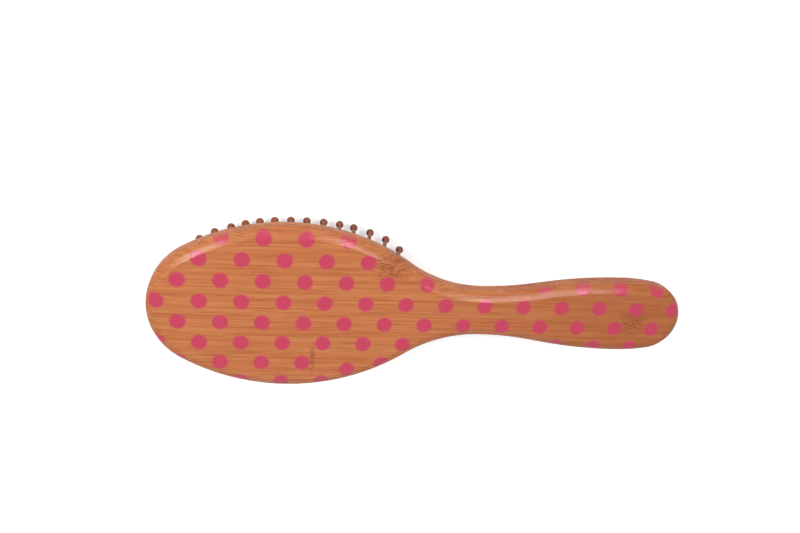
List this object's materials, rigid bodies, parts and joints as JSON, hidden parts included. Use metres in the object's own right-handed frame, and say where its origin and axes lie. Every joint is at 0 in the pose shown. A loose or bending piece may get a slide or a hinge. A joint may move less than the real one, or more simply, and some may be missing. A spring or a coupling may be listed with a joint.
{
  "type": "paddle brush",
  "caption": "Oval cushion hair brush: laminated bamboo board with a narrow grip, an air-backed rubber pad and rows of ball-tipped wooden pins.",
  "frame": {"origin": "middle of the brush's bounding box on the surface that the pins' balls stand on", "axes": "+X along the brush towards the grip's end, +Y across it, +Z out of the flat back; the pins point to -Z"},
  "size_m": [0.23, 0.072, 0.0351],
  "materials": {
    "printed_bamboo": "clear gloss lacquer over a printed pink dot pattern",
    "bamboo": "clear gloss lacquer",
    "rubber": "satin moulded rubber",
    "pin_wood": "polished, thin lacquer"
  },
  "bodies": {
    "brush": {"back_ply": "printed_bamboo", "core_ply": "bamboo", "face_ply": "bamboo"},
    "cushion": {"cushion_pad": "rubber"},
    "row_01": {"pin_row_01": "pin_wood"},
    "row_02": {"pin_row_02": "pin_wood"},
    "row_03": {"pin_row_03": "pin_wood"},
    "row_04": {"pin_row_04": "pin_wood"},
    "row_05": {"pin_row_05": "pin_wood"},
    "row_06": {"pin_row_06": "pin_wood"},
    "row_07": {"pin_row_07": "pin_wood"},
    "row_08": {"pin_row_08": "pin_wood"},
    "row_09": {"pin_row_09": "pin_wood"},
    "row_10": {"pin_row_10": "pin_wood"},
    "row_11": {"pin_row_11": "pin_wood"},
    "row_12": {"pin_row_12": "pin_wood"},
    "row_13": {"pin_row_13": "pin_wood"},
    "row_14": {"pin_row_14": "pin_wood"},
    "row_15": {"pin_row_15": "pin_wood"},
    "row_16": {"pin_row_16": "pin_wood"},
    "row_17": {"pin_row_17": "pin_wood"}
  },
  "joints": [
    {"name": "cushion_press", "type": "slide", "parent": "brush", "child": "cushion", "axis": [0, 0, 1], "range_m": [0, 0.003], "stiffness_N_per_m": 5000, "deforming": ["cushion_pad"]},
    {"name": "row_01_tilt", "type": "hinge", "parent": "cushion", "child": "row_01", "pos_m": [-0.105, 0, 0.02393], "axis": [0, 1, 0], "range_deg": [-7, 7], "stiffness_Nm_per_rad": 0.3},
    {"name": "row_02_tilt", "type": "hinge", "parent": "cushion", "child": "row_02", "pos_m": [-0.09884, 0, 0.02308], "axis": [0, 1, 0], "range_deg": [-7, 7], "stiffness_Nm_per_rad": 0.3},
    {"name": "row_03_tilt", "type": "hinge", "parent": "cushion", "child": "row_03", "pos_m": [-0.09268, 0, 0.02234], "axis": [0, 1, 0], "range_deg": [-7, 7], "stiffness_Nm_per_rad": 0.3},
    {"name": "row_04_tilt", "type": "hinge", "parent": "cushion", "child": "row_04", "pos_m": [-0.08652, 0, 0.02181], "axis": [0, 1, 0], "range_deg": [-7, 7], "stiffness_Nm_per_rad": 0.3},
    {"name": "row_05_tilt", "type": "hinge", "parent": "cushion", "child": "row_05", "pos_m": [-0.08036, 0, 0.02138], "axis": [0, 1, 0], "range_deg": [-7, 7], "stiffness_Nm_per_rad": 0.3},
    {"name": "row_06_tilt", "type": "hinge", "parent": "cushion", "child": "row_06", "pos_m": [-0.0742, 0, 0.02111], "axis": [0, 1, 0], "range_deg": [-7, 7], "stiffness_Nm_per_rad": 0.3},
    {"name": "row_07_tilt", "type": "hinge", "parent": "cushion", "child": "row_07", "pos_m": [-0.06804, 0, 0.02091], "axis": [0, 1, 0], "range_deg": [-7, 7], "stiffness_Nm_per_rad": 0.3},
    {"name": "row_08_tilt", "type": "hinge", "parent": "cushion", "child": "row_08", "pos_m": [-0.06188, 0, 0.02083], "axis": [0, 1, 0], "range_deg": [-7, 7], "stiffness_Nm_per_rad": 0.3},
    {"name": "row_09_tilt", "type": "hinge", "parent": "cushion", "child": "row_09", "pos_m": [-0.05572, 0, 0.02078], "axis": [0, 1, 0], "range_deg": [-7, 7], "stiffness_Nm_per_rad": 0.3},
    {"name": "row_10_tilt", "type": "hinge", "parent": "cushion", "child": "row_10", "pos_m": [-0.04956, 0, 0.02081], "axis": [0, 1, 0], "range_deg": [-7, 7], "stiffness_Nm_per_rad": 0.3},
    {"name": "row_11_tilt", "type": "hinge", "parent": "cushion", "child": "row_11", "pos_m": [-0.0434, 0, 0.02088], "axis": [0, 1, 0], "range_deg": [-7, 7], "stiffness_Nm_per_rad": 0.3},
    {"name": "row_12_tilt", "type": "hinge", "parent": "cushion", "child": "row_12", "pos_m": [-0.03724, 0, 0.02107], "axis": [0, 1, 0], "range_deg": [-7, 7], "stiffness_Nm_per_rad": 0.3},
    {"name": "row_13_tilt", "type": "hinge", "parent": "cushion", "child": "row_13", "pos_m": [-0.03108, 0, 0.0213], "axis": [0, 1, 0], "range_deg": [-7, 7], "stiffness_Nm_per_rad": 0.3},
    {"name": "row_14_tilt", "type": "hinge", "parent": "cushion", "child": "row_14", "pos_m": [-0.02492, 0, 0.02167], "axis": [0, 1, 0], "range_deg": [-7, 7], "stiffness_Nm_per_rad": 0.3},
    {"name": "row_15_tilt", "type": "hinge", "parent": "cushion", "child": "row_15", "pos_m": [-0.01876, 0, 0.02207], "axis": [0, 1, 0], "range_deg": [-7, 7], "stiffness_Nm_per_rad": 0.3},
    {"name": "row_16_tilt", "type": "hinge", "parent": "cushion", "child": "row_16", "pos_m": [-0.0126, 0, 0.02261], "axis": [0, 1, 0], "range_deg": [-7, 7], "stiffness_Nm_per_rad": 0.3},
    {"name": "row_17_tilt", "type": "hinge", "parent": "cushion", "child": "row_17", "pos_m": [-0.00644, 0, 0.02305], "axis": [0, 1, 0], "range_deg": [-7, 7], "stiffness_Nm_per_rad": 0.3}
  ]
}
